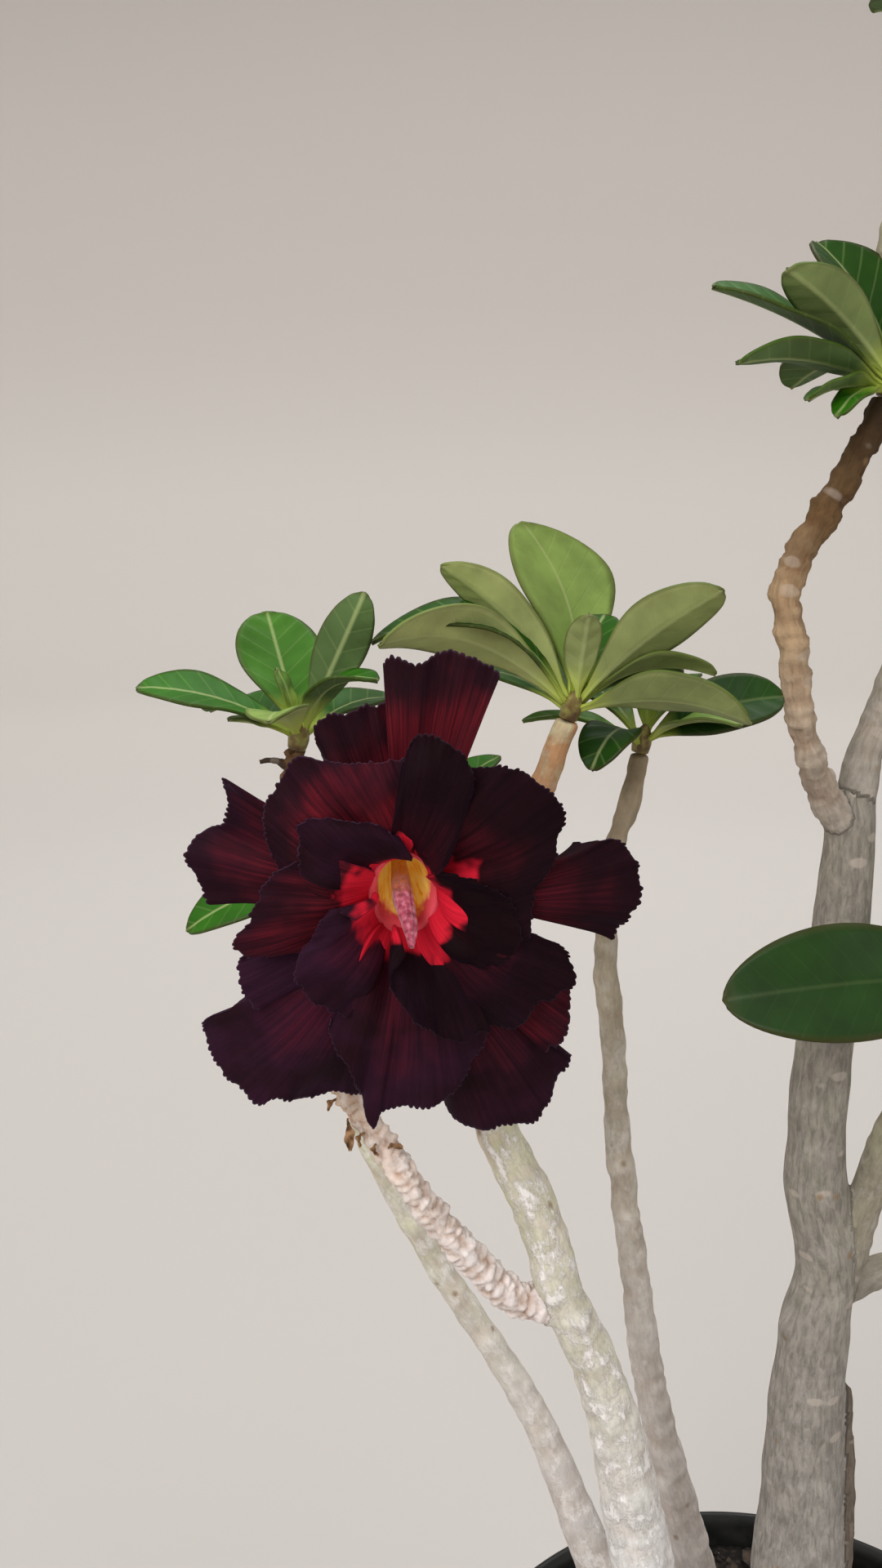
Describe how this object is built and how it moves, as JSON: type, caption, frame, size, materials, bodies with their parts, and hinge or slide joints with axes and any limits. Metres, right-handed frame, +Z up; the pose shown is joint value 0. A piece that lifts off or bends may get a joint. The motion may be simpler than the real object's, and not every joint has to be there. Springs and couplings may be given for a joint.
{
  "type": "potted desert rose adenium",
  "caption": "Desert rose plant in a black nursery pot: swollen base, long pale stems with leaf rosettes, and a dark many-petalled bloom.",
  "frame": {"origin": "centre of the pot's flat underside", "axes": "+Z up along the pot's axis, -Y the side that the bloom looks to, +X to the right of a viewer who faces the bloom"},
  "size_m": [0.257, 0.2, 0.6214],
  "materials": {
    "pot_plastic": "moulded black polypropylene, satin",
    "potting_mix": "coir and bark potting mix, rough and dull",
    "bark": "thin pale grey-beige bark with leaf scars, matt",
    "leaf": "leathery green leaf, satin above and dull below",
    "petal": "velvety near-black maroon petal, red at the throat",
    "anther": "soft pink anther tails",
    "calyx": "dull green calyx and stalk"
  },
  "bodies": {
    "root": {"pot": "pot_plastic", "soil": "potting_mix", "stems": "bark", "leaves_left_front": "leaf", "leaves_middle": "leaf", "leaves_back": "leaf", "leaves_left_back": "leaf", "leaves_trunk_left": "leaf", "leaves_trunk_right": "leaf", "leaves_right_front": "leaf", "leaves_right_back": "leaf", "corolla": "petal", "anther_cone": "anther", "calyx": "calyx"}
  },
  "joints": []
}
